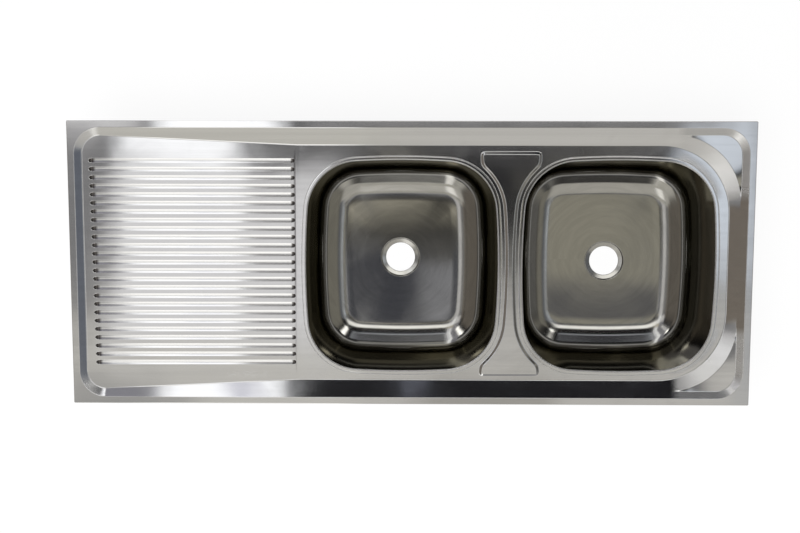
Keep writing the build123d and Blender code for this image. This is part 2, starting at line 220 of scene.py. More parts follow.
# %% Patchwork of grids and webs
class Patchwork:
    """Points and faces of one skin, added patch by patch."""

    def __init__(self):
        self.points = np.zeros((0, 3))
        self.faces = []

    def add_points(self, points):
        """A grid of points joins the skin. Returns their indices in the same grid."""
        first = len(self.points)
        self.points = np.vstack([self.points, points.reshape(-1, 3)])
        return first + np.arange(points[..., 0].size).reshape(points.shape[:-1])

    def add_quads(self, index, closed=True):
        """Quads between the rows of an index grid, closed round its columns if asked."""
        across = np.roll(index, -1, axis=1) if closed else index[:, 1:]
        here = index if closed else index[:, :-1]
        quads = np.stack([here[:-1], across[:-1], across[1:], here[1:]], axis=-1)
        self.faces += quads.reshape(-1, 4).tolist()

    def add_strip(self, points):
        """A grid of points with the quads between its rows."""
        index = self.add_points(points)
        self.add_quads(index)
        return index

    def add_web(self, outer, holes=()):
        """Flat fill between an outer loop and holes, all given as indices of points that are there already."""
        loops = [outer, *holes]
        index = np.concatenate(loops)
        starts = np.cumsum([0] + [len(loop) for loop in loops])
        edges = []
        for start, loop in zip(starts, loops):
            ring = start + np.arange(len(loop))
            edges += np.stack([ring, np.roll(ring, -1)], axis=1).tolist()
        flat = self.points[index, :2]
        made = delaunay_2d_cdt([Vector(p) for p in flat], edges, [], 1, 1e-9)
        origin = np.array([group[0] for group in made[3]])
        triangles = origin[np.array(made[2])]
        middle = flat[triangles].mean(axis=1)
        keep = inside(middle, flat[: len(outer)])
        for start, loop in zip(starts[1:], loops[1:]):
            keep &= ~inside(middle, flat[start:start + len(loop)])
        self.faces += index[triangles[keep]].tolist()

    def make_object(self, name, thickness=0.0, sharp=45.0):
        """The skin as an object: doubles merged, a wall on its underside, edges over the angle kept sharp."""
        mesh = bpy.data.meshes.new(name)
        mesh.from_pydata(self.points.tolist(), [], self.faces)
        piece = bpy.data.objects.new(name, mesh)
        scene.collection.objects.link(piece)
        weld = piece.modifiers.new("weld", "WELD")
        weld.merge_threshold = 0.002 * MM
        if thickness:
            wall = piece.modifiers.new("wall", "SOLIDIFY")
            wall.thickness = thickness
            wall.offset = -1
        settle(piece)
        mesh = piece.data
        mesh.shade_smooth()
        mesh.set_sharp_from_angle(angle=np.radians(sharp))
        print(name, "has", sum(len(p.vertices) - 2 for p in mesh.polygons), "triangles")
        return piece


def stand_for(piece, node):
    """Let a piece ride on the sink, in the place of a CAD node, which it hides."""
    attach(piece, "sink")
    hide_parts(node)


print("patchwork helper is ready")

# %% [markdown]
# ## The pressed top
# On the real sink one sheet is pressed: a flat flange with its edge turned down, a sloping band, small shelves
# at the two right corners, a level deck, a drainer that falls towards the bowls, and a raised divider. Rays
# all round the sink carry one profile, whose corners move from ray to ray: that is how the band runs out
# over the drainer and how the shelves open at the right.

# %% Rays round the rim
fan_right = np.array([half_length, half_width]) - flange_width - shelf_inner_drop / band_fall - shelf_corner
fan_left = np.array([half_length, half_width]) - flange_width - flange_corner
fold_reach = 4.0 * MM
fold_lines = drainer_right + np.linspace(-fold_reach, fold_reach, 7)


def corner_angles(origin, steps):
    """Angles of a quarter fan, from 0 to 90 degrees, with extra ones where the rim's small corner is."""
    first = np.arctan2(half_width - rim_corner - origin[1], half_length - origin[0])
    last = np.arctan2(half_width - origin[1], half_length - rim_corner - origin[0])
    before, after = np.linspace(0, first, steps)[:-1], np.linspace(last, np.pi / 2, steps)[1:]
    return np.concatenate([before, np.linspace(first, last, 5), after])


def long_side(y_direction):
    """Rays along the back or front, going round anticlockwise, with the fold's lines among them."""
    x = np.concatenate([np.linspace(fan_right[0], -fan_left[0], 84)[1:-1], fold_lines])
    x = np.sort(x)[::-1] if y_direction > 0 else np.sort(x)
    origins = np.stack([x, np.full_like(x, 0.1 * y_direction)], axis=1)
    return origins, np.tile((0.0, float(y_direction)), (len(x), 1))


right_turn = corner_angles(fan_right, 26)
left_turn = corner_angles(fan_left, 20)
rim_origins, rim_directions = joined_rays([
    side_rays(fan_right * (1, -1), fan_right, (1.0, 0.0), 20),
    fan(fan_right, right_turn),
    long_side(1),
    fan(fan_left * (-1, 1), np.pi - left_turn[::-1]),
    side_rays(fan_left * (-1, 1), -fan_left, (-1.0, 0.0), 34),
    fan(-fan_left, np.pi + left_turn),
    long_side(-1),
    fan(fan_right * (1, -1), 2 * np.pi - right_turn[::-1]),
])
print(len(rim_origins), "rays round the rim")

# %% Heights, and reach of the rays
def drainer_height(x):
    """Height of the drainer's plane: it starts below the rim at the left and falls evenly to the deck."""
    return rim_top - drainer_start_drop - drainer_fall * (x - drainer_left)


def floor_height(x):
    """Height of the drainer or the deck at x. Near the fold a parabola touches both planes."""
    past = np.clip(x - drainer_right, -fold_reach, fold_reach)
    curve = deck_height + drainer_fall * (fold_reach - past) ** 2 / (4 * fold_reach)
    return np.where(x < drainer_right - fold_reach, drainer_height(x), curve)


def rim_reach(inset, radius):
    """Distance along each ray to the sink's outline set in by inset. On a side it is (half - origin) / direction,
    and at a corner it is the larger root t of |origin + t * direction - centre| = radius."""
    o, d = np.abs(rim_origins), np.maximum(np.abs(rim_directions), 1e-12)
    half = np.array([half_length - inset, half_width - inset])
    flat = ((half - o) / d).min(axis=1)
    centre = half - radius
    hit = o + flat[:, None] * d
    b = (d * (o - centre)).sum(axis=1)
    c = ((o - centre) ** 2).sum(axis=1) - radius ** 2
    curved = -b + np.sqrt(np.maximum(b * b - c, 0))
    return np.where((hit > centre).all(axis=1), curved, flat)


print(f"the drainer falls {np.degrees(np.arctan(drainer_fall)):.2f} degrees")

# %% Profile from the turned edge down to the deck
rim_radii = np.array((0, 1.2, 3.5, 5.0, 4.0, 6.0, 0)) * MM
rim_foot_run = 4.0 * MM


def rim_corners():
    """Corners of the rim's profile along every ray, as distance and height. Over the drainer the band's run q
    solves q * band_fall = start_drop + fall * (x - q * direction_x - left), the meeting of two planes."""
    edge, crease = rim_reach(0.0, rim_corner), rim_reach(flange_width, flange_corner)
    crease_x = rim_origins[:, 0] + crease * rim_directions[:, 0]
    run = drainer_start_drop + drainer_fall * (crease_x - drainer_left)
    run /= band_fall + drainer_fall * rim_directions[:, 0]
    over_drainer = crease_x < drainer_right
    level = np.full_like(edge, rim_top)
    distance, height = [edge, edge, crease], [level - lip_depth, level, level]
    shelf_edge = flange_corner - shelf_outer_drop / band_fall
    bends = (shelf_outer_drop, shelf_edge), (shelf_inner_drop, shelf_corner), (deck_drop, deck_corner)
    for drop, corner in bends:
        share = drop / deck_drop
        far = rim_reach(flange_width + drop / band_fall, corner)
        distance.append(np.where(over_drainer, crease - share * run, far))
        height.append(rim_top - np.where(over_drainer, share * run * band_fall, drop))
    distance.append(distance[-1] - rim_foot_run)
    height.append(floor_height(rim_origins[:, 0] + distance[-1] * rim_directions[:, 0]))
    return np.stack([np.stack(distance), np.stack(height)], axis=2)


top = Patchwork()
rim_index = top.add_strip(carried(rim_origins, rim_directions, rounded_profile(rim_corners(), rim_radii)))
rim_foot = rim_index[-1]
print("rim strip", rim_index.shape)

# %% [markdown]
# ## Drainer grooves
# Round flutes are pressed into the drainer, with level ridges left between them. A flute is a stadium: its
# outline shrinks towards its centre line while the profile goes down, so its round ends slope like its sides.
# The ends at the left run out more gently than those at the bowls, so that end of the form is stretched, and
# the line of those ends leans a little: the flutes are shorter at the front.

# %% Form of a groove
groove_left = drainer_left + 13.5 * MM
groove_right = bowl_x["left"] - bowl_half_length - 17.5 * MM
groove_pitch = 14.9 * MM
groove_width = 7.8 * MM
groove_depth = 1.8 * MM
groove_bottom_width = 3.0 * MM
groove_lip = 1.2 * MM
groove_foot_radius = 4.5 * MM
groove_shift = 2.0 * MM
groove_count = 25
groove_end_stretch = 1.5
groove_lean = 0.0122
groove_columns = np.array((1.5, 4.0, 6.5, 12.0, 60.0)) * MM


def groove_start(y):
    """Where the groove at y begins: the line of the left ends leans."""
    return groove_left - groove_lean * y


def groove_form(half):
    """One groove in its own frame, with its left end stretched along X by a piecewise linear map. Its columns
    stand closer together near the ends, where the finish changes."""
    round_end = groove_width / 2
    side = round_end - groove_bottom_width / 2
    near_end = groove_columns / (2 * half - groove_width)
    columns = np.concatenate([near_end, [0.5], 1 - near_end[::-1]])
    rays = rounded_rays(half, round_end, round_end, 6, columns, 2)
    points = round_ring(rays, ring_profile(
        (groove_lip, 0.0, -side, -round_end), (0, 0, -groove_depth, -groove_depth),
        (0, groove_lip, groove_foot_radius, 0), round_end, steps=7))
    ends = np.array([-groove_lip, 0, round_end, 2 * half - round_end]) - half
    stretched = ends + (0, 0, (groove_end_stretch - 1) * round_end, 0)
    moved = np.interp(points[..., 0], ends, stretched)
    points[..., 0] = np.where(points[..., 0] < ends[-1], moved, points[..., 0])
    return points


print("a groove has", groove_form(0.15).shape[:2], "rows and columns")

# %% Grooves on the drainer
def on_drainer(points, centre_x, centre_y):
    """Move a flat form to the drainer: its heights are counted from the sloping plane."""
    moved = points + (centre_x, centre_y, 0)
    moved[..., 2] += drainer_height(moved[..., 0])
    return moved


groove_index = []
for y in groove_shift + groove_pitch * (np.arange(groove_count) - (groove_count - 1) / 2):
    start = groove_start(y)
    form = groove_form((groove_right - start) / 2)
    groove_index.append(top.add_strip(on_drainer(form, (groove_right + start) / 2, y)))
print(len(groove_index), "grooves")

# %% [markdown]
# ## Bowl outline and divider
# The bowls aren't plain rounded rectangles: their sides are bowed, long arcs that meet in corner arcs. Between
# the bowls stands a raised island whose long sides keep the same distance from both, so it is waisted like an
# hourglass with flat ends. Its outline is drawn with sharp corners and then smoothed along its length, which
# rounds every corner the way a press does.

# %% Bowl outline
def bowl_ring(corner_steps, x_steps, y_steps):
    """Points and outward normals of the bowed outline, about the bowl's centre. A corner's centre lies where
    two circles cross: both have the side radius less the corner radius, about the centres of two side arcs.
    The second half of the ring is the first one turned by half a turn."""
    right = np.array([bowl_half_length - bowl_side_radius, 0.0])
    back = np.array([0.0, bowl_half_width - bowl_side_radius])
    gap = back - right
    lift = np.sqrt((bowl_side_radius - bowl_corner) ** 2 - (gap @ gap) / 4)
    centre = (right + back) / 2 + lift * np.array([-gap[1], gap[0]]) / np.linalg.norm(gap)
    first = np.arctan2(*(centre - right)[::-1])
    last = np.arctan2(*(centre - back)[::-1])
    quarter = np.linspace(first, last, corner_steps + 1)
    to_right = np.linspace(-first, first, y_steps + 1)[1:-1]
    to_back = np.linspace(last, np.pi - last, x_steps + 1)[1:-1]
    arcs = [
        (right, to_right, bowl_side_radius), (centre, quarter, bowl_corner),
        (back, to_back, bowl_side_radius), (centre * (-1, 1), np.pi - quarter[::-1], bowl_corner),
    ]
    normals = np.vstack([fan(o, a)[1] for o, a, _ in arcs])
    points = np.vstack([o + r * fan(o, a)[1] for o, a, r in arcs])
    return np.vstack([points, -points]), np.vstack([normals, -normals])


bowl_rays = bowl_ring(26, 20, 22)
print("bowl outline of", len(bowl_rays[0]), "points")

# %% Divider outline
divider_x = (bowl_x["left"] + bowl_x["right"]) / 2
divider_y = -2.0 * MM
divider_gap = 12.7 * MM
divider_half_width = 53.9 * MM
divider_half_length = 199.0 * MM
divider_softness = 5.6 * MM


def along_loop(loop, count):
    """Points at equal steps along a closed line, and its length."""
    closed = np.vstack([loop, loop[:1]])
    place = np.concatenate([[0], np.cumsum(np.linalg.norm(np.diff(closed, axis=0), axis=1))])
    at = np.linspace(0, place[-1], count, endpoint=False)
    return np.stack([np.interp(at, place, closed[:, i]) for i in (0, 1)], axis=1), place[-1]


def smooth_loop(loop, softness, count, fine_count=2048):
    """A closed line blurred along its length by a bell curve, whose spectrum is
    exp(-(frequency * softness)^2 / 2). Returns points at equal steps and outward normals, the tangents turned
    by a right angle."""
    fine, length = along_loop(loop, fine_count)
    frequency = 2 * np.pi * np.fft.fftfreq(fine_count, length / fine_count)
    bell = np.exp(-((frequency * softness) ** 2) / 2)[:, None]
    soft, _ = along_loop(np.fft.ifft(np.fft.fft(fine, axis=0) * bell, axis=0).real, count)
    tangent = np.roll(soft, -1, axis=0) - np.roll(soft, 1, axis=0)
    tangent /= np.linalg.norm(tangent, axis=1, keepdims=True)
    return soft, np.stack([tangent[:, 1], -tangent[:, 0]], axis=1)


def divider_outline():
    """Sharp outline, anticlockwise: the right side follows the right bowl, and the left side mirrors it."""
    points, normals = bowl_ring(60, 40, 40)
    near = points + divider_gap * normals + (bowl_x["right"] - divider_x, bowl_y - divider_y)
    near = near[near[:, 0] < divider_half_width]
    near = near[np.argsort(near[:, 1])]
    end = np.array([divider_half_width, divider_half_length])
    right = np.vstack([end * (1, -1), near, end])
    return np.vstack([right, right[::-1] * (-1, 1)])


divider_rays = smooth_loop(divider_outline(), divider_softness, 300)
print("divider outline of", len(divider_rays[0]), "points")

# %% Divider sides
divider_rise = 2.0 * MM
divider_side_run = 4.2 * MM
divider_foot_run = 2.4 * MM
divider_crown_run = 2.2 * MM
divider_edge = 4.0 * MM
divider_rows = ring_profile(
    (divider_foot_run, 0.0, -divider_side_run, -divider_side_run - divider_crown_run),
    np.array((0, 0, divider_rise, divider_rise)) + deck_height, (0, divider_edge, divider_edge, 0))
divider_index = top.add_strip(round_ring(divider_rays, divider_rows) + (divider_x, divider_y, 0))
top.add_web(divider_index[-1])
print("divider strip", divider_index.shape)

# %% [markdown]
# ## The finished top
# What is left is level or evenly sloping sheet: the drainer between its grooves, the narrow fold where it meets
# the deck, and the deck round the bowls and the divider. Webs fill them, and then the skin gets its thickness.
# Its finish changes from place to place: the ends of the grooves get painted shade, the dark reflections they
# show painted into the colour, and the corners are duller. For that a share is stored at each vertex, worked out
# from where it lies and how its normal leans.

# %% Webs of the deck and the drainer
bowl_mouth = bowl_rays[0] + bowl_collar * bowl_rays[1]
mouth_index = []
for side in ("left", "right"):
    mouth = np.hstack([bowl_mouth + (bowl_x[side], bowl_y), np.full((len(bowl_mouth), 1), deck_height)])
    mouth_index.append(top.add_points(mouth))


def ray_at(x, y_direction):
    """Place in the ring of the ray along the back or front that stands at x."""
    wanted = rim_directions[:, 1] * y_direction > 0.999
    return np.where(wanted, np.abs(rim_origins[:, 0] - x), 9.0).argmin()


back = [ray_at(x, 1) for x in fold_lines]
front = [ray_at(x, -1) for x in fold_lines]
deck_loop = np.concatenate([rim_foot[front[-1]:], rim_foot[:back[-1] + 1]])
top.add_quads(np.stack([rim_foot[front], rim_foot[back]])[::-1][:, ::-1], closed=False)
top.add_web(rim_foot[back[0]:front[0] + 1], [g[0] for g in groove_index])
top.add_web(deck_loop, [*mouth_index, divider_index[0]])
pressed_top = top.make_object("pressed_top", sheet)

# %% Shares at the vertices
edge_leans = 0.2, 0.985


def vectors_of(items, label):
    """Places or normals of all vertices or faces, as an array of three columns."""
    values = np.empty(len(items) * 3)
    items.foreach_get(label, values)
    return values.reshape(-1, 3)


def write_share(piece, label, share):
    """Store one number for each vertex, which a finish reads by its label."""
    layer = piece.data.attributes.new(label, "FLOAT", "POINT")
    layer.data.foreach_set("value", share.astype(np.float32))
    print(piece.name, "has", label, "at", np.count_nonzero(share), "vertices")


def ramp(value, width):
    """0 below 0, 1 above the width, and a straight line between."""
    return np.clip(value / width, 0, 1)


def is_rolled(lean):
    """True where a normal's upward part says that the face leans, but isn't a wall."""
    return (lean > edge_leans[0]) & (lean < edge_leans[1])


print("a ramp of width 2:", ramp(np.array([-1.0, 1.0, 3.0]), 2.0))

# %% Painted shade in the groove ends, and stretched corners
# painted shade: how far the dark reflections painted into the grooves' ends reach, and where they fade on the
# ridges
end_shade_left, end_shade_right, end_shade_fade = 11.0 * MM, 8.0 * MM, 2.5 * MM
end_shade_depth = 0.15 * groove_depth
ridge_shade_share, ridge_shade_reach = 0.7, 3.0 * MM
ridge_shade_front, ridge_shade_fade, ridge_shade_least = -0.10, 0.08, 0.25
corner_dulling = 0.6
corner_fade = 18.0 * MM


def paint_end_shade(piece):
    """Share for painted shade: the dark reflections in the grooves' ends, painted into the colour. In a groove it
    rises with the depth under the drainer's plane, and towards either end. At the right ends a fainter painted
    shade also lies on the ridges, and fades towards the front."""
    x, y, z = vectors_of(piece.data.vertices, "co").T
    start, under = groove_start(y), drainer_height(x) - z
    to_left = ramp(start + end_shade_left - x, end_shade_fade)
    to_right = ramp(x - groove_right + end_shade_right, end_shade_fade)
    in_groove = ramp(under, end_shade_depth) * np.maximum(to_left, to_right)
    ridge_shade = ridge_shade_share * ramp(x - groove_right + ridge_shade_reach, ridge_shade_reach)
    ridge_shade *= np.maximum(ramp(y - ridge_shade_front, ridge_shade_fade), ridge_shade_least)
    near = (x > start - 1.0 * MM) & (x < groove_right + 1.5 * MM) & (under < 2 * groove_depth)
    near &= np.abs(y - groove_shift) < groove_pitch * groove_count / 2
    write_share(piece, "painted_end_shade", np.maximum(in_groove, ridge_shade) * near)


def mark_stretch(piece):
    """Share "rub" on the top: the band's corners, where pressing stretched the sheet most and left it duller. It
    rises with the distance into the corner square, and it is kept to leaning faces."""
    x, y, _ = vectors_of(piece.data.vertices, "co").T
    lean = vectors_of(piece.data.vertices, "normal")[:, 2]
    centre = np.where(x[:, None] > 0, fan_right, fan_left)
    into = np.minimum(np.abs(x) - centre[:, 0], np.abs(y) - centre[:, 1])
    write_share(piece, "rub", corner_dulling * ramp(into, corner_fade) * is_rolled(lean))


# painted shade at the grooves' ends, and duller corners
paint_end_shade(pressed_top)
mark_stretch(pressed_top)
stand_for(pressed_top, "sink_top")

# %% [markdown]
# ## Bowls
# Each bowl is drawn deep from its own sheet and welded in. The profile rolls over from the deck, goes down a
# drafted wall, through a wide bottom radius to the floor, and then to the stepped seat of the waste. From the
# floor inwards the rows turn from a rounded rectangle into circles.

# %% Bowl profiles
waste_recess_radius = 36.0 * MM
waste_hole_radius = 27.5 * MM
waste_recess_depth = 3.0 * MM
waste_step = 0.8 * MM
waste_edge = 0.9 * MM
waste_floor_radius = 43.0 * MM
seat_fall = 1.3 * MM
bowl_floor = deck_height - bowl_depth
floor_rise = 0.35 * MM
floor_edge_run = 18.5 * MM
seam_depth = 0.06 * MM
seam_run = 1.3 * MM
chord_run, chord_rise = 36.2 * MM, 16.9 * MM
knee_rise = 0.6 * MM
wall_radii = np.array((0, 4.0, 4.0, 3.2, 40.0, 60.0, 0)) * MM
waste_centre = {
    "left": np.array([bowl_x["left"] - 3.5 * MM, bowl_y + 3.4 * MM]),
    "right": np.array([bowl_x["right"] + 1.7 * MM, bowl_y - 2.7 * MM]),
}


def bowl_wall_rows():
    """Rows from the collar on the deck, with the ground seam as a faint hollow in it, over the edge, down the
    drafted wall, and through a tight and then a wide bottom arc to the floor, which still rises a little there.
    Between the arcs runs a chord at a middle slope."""
    wall, edge = -sheet, bowl_floor + floor_rise
    heel_z = edge + knee_rise + chord_rise
    heel = wall - (deck_height - heel_z) * bowl_draft
    knee = heel - chord_run
    return ring_profile(
        (bowl_collar, bowl_collar - seam_run, bowl_collar - 2 * seam_run,
         wall, heel, knee, knee - floor_edge_run),
        (deck_height, deck_height - seam_depth, deck_height, deck_height, heel_z, edge + knee_rise, edge),
        wall_radii, steps=14)


def waste_rows():
    """Rows of the waste's seat, as radius and height: floor, rounded step, dished seat, and the hole's edge."""
    seat = bowl_floor - waste_recess_depth
    radii = waste_recess_radius + waste_step, waste_recess_radius - waste_step, waste_hole_radius
    return ring_profile(
        (waste_floor_radius, *radii, waste_hole_radius),
        (bowl_floor, bowl_floor, seat + seat_fall, seat, seat - waste_edge),
        (0, 2 * waste_step, 2 * waste_step, waste_step, 0), steps=5)


print("rows of wall and waste:", len(bowl_wall_rows()), len(waste_rows()))

# %% Bowl surfaces
knee_dulling, knee_lean, knee_least = 0.25, 0.0015, 0.3
wall_lean, wall_fade = 0.85, 0.35
edge_reach = 4.0 * MM


def mark_rub_and_wall_shade(piece):
    """Share "rub" for the edge that hands and pans have rubbed dull: 1 where the rolled edge leans. The knee
    between floor and wall, which a polishing wheel can't reach well, has a smaller share of it. A second share
    for the wall darkens its colour as painted shade for the dark room it reflects, and makes it a little duller:
    it rises as faces lean."""
    lean = vectors_of(piece.data.vertices, "normal")[:, 2]
    near_edge = vectors_of(piece.data.vertices, "co")[:, 2] > deck_height - edge_reach
    knee = knee_dulling * ramp(1 - lean, knee_lean) * np.clip(lean, knee_least, 1) * ~near_edge
    write_share(piece, "rub", np.maximum(near_edge & is_rolled(lean), knee))
    # painted shade on the bowl walls: this share darkens their colour, and adds a little roughness
    write_share(piece, "wall_shade_and_dulling", ramp(wall_lean - lean, wall_fade) * ~near_edge)


def make_bowl(side):
    """Wall rows about the bowl's centre, waste rows about the waste's, and floor rows between them."""
    skin = Patchwork()
    points = round_ring(bowl_rays, bowl_wall_rows()) + (bowl_x[side], bowl_y, 0)
    outwards = points[-1, :, :2] - waste_centre[side]
    around = outwards / np.linalg.norm(outwards, axis=1, keepdims=True)
    waste = round_ring((np.tile(waste_centre[side], (len(around), 1)), around), waste_rows())
    share = np.linspace(0, 1, 11)[1:-1, None, None]
    floor = points[-1:] * (1 - share) + waste[:1] * share
    floor[..., 2:] = bowl_floor + floor_rise * (1 - share) ** 2
    skin.add_strip(np.concatenate([points, floor, waste]))
    piece = skin.make_object(f"{side}_bowl_drawn", sheet)
    mark_rub_and_wall_shade(piece)
    stand_for(piece, f"{side}_bowl")
    return piece


bowls = [make_bowl(side) for side in ("left", "right")]

# %% [markdown]
# ## Soft pieces
# A sheet of bitumen is stuck under each bowl to deaden its sound, and a foam strip runs under the rim. Both are
# soft, with edges that sag a little round, so they are closed profiles carried round their outlines.

# %% Sound pads
pad_corner, pad_hole, pad_soft = 40.0 * MM, 50.0 * MM, 1.3 * MM


def closed_skin(name, rows):
    """An object from rows of points, closed round its columns and from the last row to the first."""
    skin = Patchwork()
    index = skin.add_points(rows)
    skin.add_quads(np.vstack([index, index[:1]]))
    return skin.make_object(name)


def make_pad(side):
    """A flat ring: rows go round the hole's soft edge, over a face, round the outer edge and back."""
    low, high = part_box(f"{side}_bowl_pad")
    centre, half = (low + high) / 2, (high - low) / 2
    rays = rounded_rays(half.x, half.y, pad_corner, 14, 10, 12)
    outer = rays[0] + pad_corner * rays[1]
    inner = pad_hole * fan((0, 0), np.arctan2(outer[:, 1], outer[:, 0]))[1]
    bend = fan((0, 0), np.linspace(np.pi / 2, -np.pi / 2, 9))[1]
    out_xy = outer[None] - pad_soft * rays[1][None] * (1 - bend[:, None, :1])
    in_xy = inner[None] * (1 + pad_soft / pad_hole * (1 - bend[::-1, None, :1]))
    xy = np.concatenate([in_xy, out_xy]) + (centre.x, centre.y)
    height = centre.z + half.z * np.concatenate([bend[::-1, 1], bend[:, 1]])
    rows = np.concatenate([xy, np.broadcast_to(height[:, None, None], xy.shape[:2] + (1,))], axis=2)
    piece = closed_skin(f"{side}_bowl_sound_pad", rows[::-1])
    stand_for(piece, f"{side}_bowl_pad")
    return piece


pads = [make_pad(side) for side in ("left", "right")]

# %% Foam seal
seal_width, seal_corner, seal_wave = 8.5 * MM, 1.0 * MM, 0.25 * MM


def oval(value, power):
    """A sine or cosine flattened towards its ends: its sign times its size to a power under one."""
    return np.sign(value) * np.abs(value) ** power


def make_seal():
    """Foam strip: a flat oval section carried round the rim, a little wavy in width, mitred at the corners."""
    low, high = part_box("rim_seal")
    rays = rounded_rays(high.x, high.y, seal_corner, 4, 240, 100)
    turn = np.linspace(0, 2 * np.pi, 20, endpoint=False)
    across = -seal_width / 2 + (seal_width / 2) * oval(np.cos(turn), 0.35)
    up = (low.z + high.z) / 2 + (high.z - low.z) / 2 * oval(np.sin(turn), 0.5)
    step = np.arange(len(rays[0]))
    wave = seal_wave * (np.sin(0.37 * step) + np.sin(0.91 * step + 1.0)) / 2
    reach = seal_corner + across[:, None] * (1 + wave / seal_width)
    rows = np.stack([reach, np.broadcast_to(up[:, None], reach.shape)], axis=2)
    piece = closed_skin("rim_foam_seal", carried(*rays, rows))
    stand_for(piece, "rim_seal")
    return piece


seal = make_seal()

# %% [markdown]
# ## Node helpers
# Materials are shader nodes. A few short helpers keep the code readable: one adds a node and sets its inputs,
# and groups hold the effects that several finishes share, such as the brushed grain of rolled steel.

# %% Nodes and sums
def feed(tree, sockets, inputs):
    """Give sockets their inputs: a value is set on the socket, and another socket is linked to it."""
    for name, value in inputs.items():
        if isinstance(value, bpy.types.NodeSocket):
            tree.links.new(value, sockets[name])
        else:
            sockets[name].default_value = value


def add_node(tree, kind, inputs=None, **settings):
    """A node of the given kind with its settings and inputs."""
    node = tree.nodes.new(kind)
    for name, value in settings.items():
        setattr(node, name, value)
    feed(tree, node.inputs, inputs or {})
    return node


def math(tree, operation, first, second=0.0):
    """One sum on two values."""
    return add_node(tree, "ShaderNodeMath", {0: first, 1: second}, operation=operation).outputs[0]


def plus(tree, value, share, amount):
    """value + share * amount."""
    return math(tree, "ADD", value, math(tree, "MULTIPLY", share, amount))


def vector_math(tree, operation, *inputs):
    """One sum on vectors, or a vector's length."""
    node = add_node(tree, "ShaderNodeVectorMath", dict(enumerate(inputs)), operation=operation)
    return node.outputs["Value" if operation == "LENGTH" else "Vector"]


def axes_of(tree, vector):
    """The three parts of a vector."""
    return add_node(tree, "ShaderNodeSeparateXYZ", {0: vector}).outputs


def vector_of(tree, *parts):
    """A vector from its parts."""
    return add_node(tree, "ShaderNodeCombineXYZ", dict(enumerate(parts))).outputs[0]


print("nodes and sums are ready")

# %% Colours, noise and stored shares
def remap(tree, value, low, high, to_low=0.0, to_high=1.0):
    """Smooth step of a value from low..high to to_low..to_high."""
    inputs = {"Value": value, "From Min": low, "From Max": high, "To Min": to_low, "To Max": to_high}
    return add_node(tree, "ShaderNodeMapRange", inputs, interpolation_type="SMOOTHSTEP").outputs[0]


def mix_colour(tree, share, first, second):
    """Colour between two colours."""
    return add_node(tree, "ShaderNodeMix", {0: share, 6: first, 7: second}, data_type="RGBA").outputs[2]


def noise(tree, place, scale, detail, roughness, distortion=0.0):
    """Cloudy noise from 0 to 1."""
    inputs = {"Vector": place, "Scale": scale, "Detail": detail, "Roughness": roughness, "Distortion": distortion}
    return add_node(tree, "ShaderNodeTexNoise", inputs).outputs[0]


def stored(tree, label):
    """A share that was stored at the vertices."""
    return add_node(tree, "ShaderNodeAttribute", attribute_name=label).outputs["Fac"]


def raised(tree, height):
    """Normals of a height in metres."""
    return add_node(tree, "ShaderNodeBump", {"Height": height, "Distance": 1.0, "Strength": 1.0}).outputs[0]


print("colours, noise and stored shares are ready")

# %% Groups and materials
def new_group(name, vectors, values, results):
    """An empty shader group with named sockets: vectors and values go in, values come out. Returns the tree, its
    inputs and the sockets of its results."""
    tree = bpy.data.node_groups.new(name, "ShaderNodeTree")
    sockets = ("INPUT", "Vector", vectors), ("INPUT", "Float", values), ("OUTPUT", "Float", results)
    for way, kind, labels in sockets:
        for label in labels:
            tree.interface.new_socket(label, in_out=way, socket_type="NodeSocket" + kind)
    return tree, tree.nodes.new("NodeGroupInput").outputs, tree.nodes.new("NodeGroupOutput").inputs


def place_group(tree, group, inputs):
    """A group placed in a tree, with its own values. Returns its outputs."""
    return add_node(tree, "ShaderNodeGroup", inputs, node_tree=group).outputs


def new_material(name):
    """A material with one Principled shader. Returns the material, its tree and the shader's inputs."""
    material = bpy.data.materials.new(name)
    material.use_nodes = True
    return material, material.node_tree, material.node_tree.nodes["Principled BSDF"].inputs


def object_place(tree):
    """Places in the piece's own frame, which is the sink's."""
    return add_node(tree, "ShaderNodeTexCoord").outputs["Object"]


def shade(colour, factor=1.0):
    """A colour made lighter or darker."""
    return (*[min(1, c * factor) for c in colour], 1)


print("a darker grey:", shade((0.5, 0.5, 0.5), 0.8))

# %% [markdown]
# ## Shared effects
# Rolled and brushed sheet has a grain: noise that is stretched far along one direction. Handling leaves
# smudges, broad soft patches that are a little rougher. A pressed sheet is never quite flat either, and its
# slow waves are what makes reflections in real sheet metal wander. Drops that dried leave faint flecks.

# %% Effect groups
def grain_group():
    """Grain = two noises stretched along Y of the given vector, a fine one and a coarse one, from 0 to 1."""
    tree, given, result = new_group("Brushed grain", ["Vector"], ["Across", "Along"], ["Grain", "Streak"])
    for label, factor in (("Grain", 1.0), ("Streak", 0.16)):
        across, along = [math(tree, "MULTIPLY", given[side], factor) for side in ("Across", "Along")]
        stretched = vector_math(tree, "MULTIPLY", given["Vector"], vector_of(tree, across, along, across))
        tree.links.new(noise(tree, stretched, 1.0, 3.0, 0.6), result[label])
    return tree


def smudge_group():
    """Smudge = broad noise through a smooth step, so that only its crests leave a patch."""
    tree, given, result = new_group("Smudges", ["Vector"], ["Scale", "From", "To"], ["Smudge"])
    cloud = noise(tree, given["Vector"], given["Scale"], 4.0, 0.62, 0.8)
    tree.links.new(remap(tree, cloud, given["From"], given["To"]), result["Smudge"])
    return tree


def wave_group():
    """Height in metres of the sheet's slow waves: two sizes of noise, each times its own height."""
    tree, given, result = new_group("Sheet waves", ["Vector"], ["Broad", "Small"], ["Height"])
    parts = [math(tree, "MULTIPLY", noise(tree, given["Vector"], scale, 1.5, 0.5), given[label])
             for label, scale in (("Broad", 7.0), ("Small", 42.0))]
    tree.links.new(math(tree, "ADD", *parts), result["Height"])
    return tree


